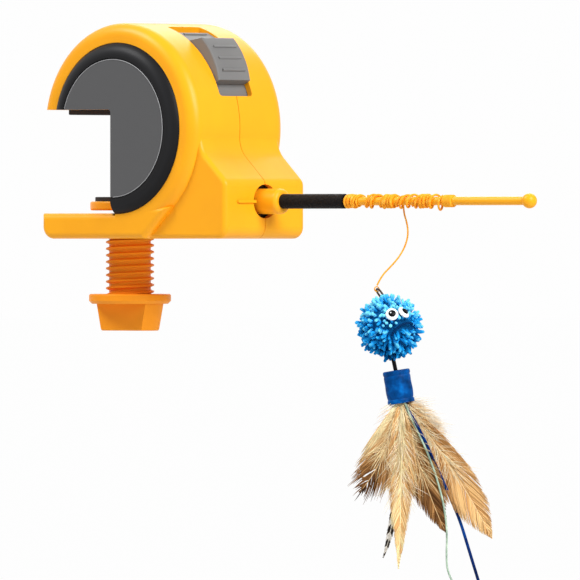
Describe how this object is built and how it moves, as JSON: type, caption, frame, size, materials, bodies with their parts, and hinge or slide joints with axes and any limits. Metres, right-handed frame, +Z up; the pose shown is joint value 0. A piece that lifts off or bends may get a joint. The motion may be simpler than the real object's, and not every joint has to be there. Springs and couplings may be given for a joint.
{
  "type": "automatic cat toy",
  "caption": "Clamp-on motor unit with a round housing, a turning wand that winds a string, and a hanging plush ball with feathers for a cat to chase.",
  "frame": {"origin": "centre of the upper jaw pad's lower face, on the clamp screw's axis", "axes": "+X from the clamp towards the wand's tip, +Z up, +Y across the housing"},
  "size_m": [0.2424, 0.0596, 0.2249],
  "materials": {
    "orange_plastic": "satin moulded",
    "orange_knob": "satin moulded",
    "grey_plastic": "fine matt",
    "slider_grey": "matt",
    "dark_rubber": "matt",
    "steel": "plain",
    "brass": "plain",
    "board_green": "satin",
    "black_plastic": "matt",
    "cell_silver": "satin",
    "white_nylon": "matt",
    "grip_black": "fine texture",
    "string_tan": "twisted",
    "dark_wire": "satin",
    "plush_blue": "tufted",
    "eye_white": "gloss",
    "pupil_black": "gloss",
    "satin_blue": "satin",
    "feather_tan": "soft",
    "feather_brown": "soft",
    "feather_pale": "soft",
    "feather_grey": "barred",
    "feather_cream": "downy",
    "tail_green": "twisted",
    "ribbon_navy": "satin"
  },
  "bodies": {
    "housing": {"housing_left": "orange_plastic", "housing_right": "orange_plastic", "housing_screws": "steel", "side_cover": "grey_plastic", "battery_cover": "grey_plastic", "battery_cover_screw": "steel", "upper_jaw_pad": "dark_rubber", "clamp_nut": "orange_plastic", "speed_switch": "black_plastic", "circuit_board": "board_green", "control_chip": "black_plastic", "board_screws": "steel", "battery_tray": "black_plastic", "battery_cells": "cell_silver", "battery_contacts": "steel", "motor_can": "steel", "motor_end_cap": "white_nylon", "rear_gear_plate": "steel", "front_gear_plate": "steel", "gear_posts": "steel", "motor_screws": "steel", "idler_axle": "steel", "shaft_bushes": "brass"},
    "clamp_foot": {"clamp_foot": "orange_plastic", "clamp_foot_pad": "dark_rubber"},
    "clamp_screw": {"clamp_screw": "orange_knob", "foot_screw": "steel"},
    "speed_slider": {"thumb_slider": "slider_grey", "switch_lever": "black_plastic"},
    "wand": {"output_gear": "white_nylon", "output_shaft": "steel", "wand_socket": "orange_plastic", "wand_grip": "grip_black", "wand_rod": "orange_plastic", "wand_tip": "orange_plastic", "string_collar": "string_tan", "string_winding": "string_tan"},
    "idler": {"idler_gear": "white_nylon"},
    "motor_rotor": {"motor_shaft": "steel", "motor_pinion": "brass"},
    "string_end": {"string_knot": "string_tan", "string_drop": "string_tan"},
    "toy": {"toy_ring": "dark_wire", "toy_ball": "plush_blue", "toy_eyes": "eye_white", "toy_pupils": "pupil_black"},
    "tail": {"toy_link": "black_plastic", "toy_sleeve": "satin_blue", "feather_barred": "feather_grey", "feather_down": "feather_cream", "feather_right": "feather_tan", "feather_middle": "feather_brown", "feather_left": "feather_brown", "feather_long": "feather_pale", "tail_string": "tail_green", "tail_ribbon": "ribbon_navy"}
  },
  "joints": [
    {"name": "clamp_travel", "type": "slide", "parent": "housing", "child": "clamp_foot", "axis": [0, 0, 1], "range_m": [0, 0.0215]},
    {"name": "clamp_turn", "type": "hinge", "parent": "clamp_foot", "child": "clamp_screw", "pos_m": [0, 0, -0.05], "axis": [0, 0, 1], "range_deg": [0, 2921.8]},
    {"name": "speed_slide", "type": "hinge", "parent": "housing", "child": "speed_slider", "pos_m": [0.0182, 0, -0.0056], "axis": [0, 1, 0], "range_deg": [-6, 6]},
    {"name": "rod_spin", "type": "hinge", "parent": "housing", "child": "wand", "pos_m": [0.07, 0, -0.0349], "axis": [1, 0, 0], "range_deg": [-4320, 360]},
    {"name": "idler_spin", "type": "hinge", "parent": "housing", "child": "idler", "pos_m": [0.05, 0, -0.0217], "axis": [1, 0, 0], "range_deg": [-1225, 14689]},
    {"name": "motor_spin", "type": "hinge", "parent": "housing", "child": "motor_rotor", "pos_m": [0.035, 0, -0.0117], "axis": [1, 0, 0], "range_deg": [-44065, 3673]},
    {"name": "toy_lift", "type": "slide", "parent": "housing", "child": "string_end", "axis": [0, 0, 1], "range_m": [-0.15929, 0.01346], "deforming": ["string_drop"]},
    {"name": "toy_swing", "type": "hinge", "parent": "string_end", "child": "toy", "pos_m": [0.13906, -0.00494, -0.06975], "axis": [0.8707, -0.4243, 0.2487], "range_deg": [-50, 50]},
    {"name": "tail_swing", "type": "hinge", "parent": "toy", "child": "tail", "pos_m": [0.14383, -0.00053, -0.09781], "axis": [0.6782, -0.7349, 0], "range_deg": [-40, 40]}
  ],
  "couplings": [
    {"joint": "clamp_turn", "follows": "clamp_travel", "rad_per_m": 2371},
    {"joint": "idler_spin", "follows": "rod_spin", "ratio": -3.4},
    {"joint": "motor_spin", "follows": "rod_spin", "ratio": 10.2},
    {"joint": "toy_lift", "follows": "rod_spin", "m_per_rad": 0.00211}
  ]
}
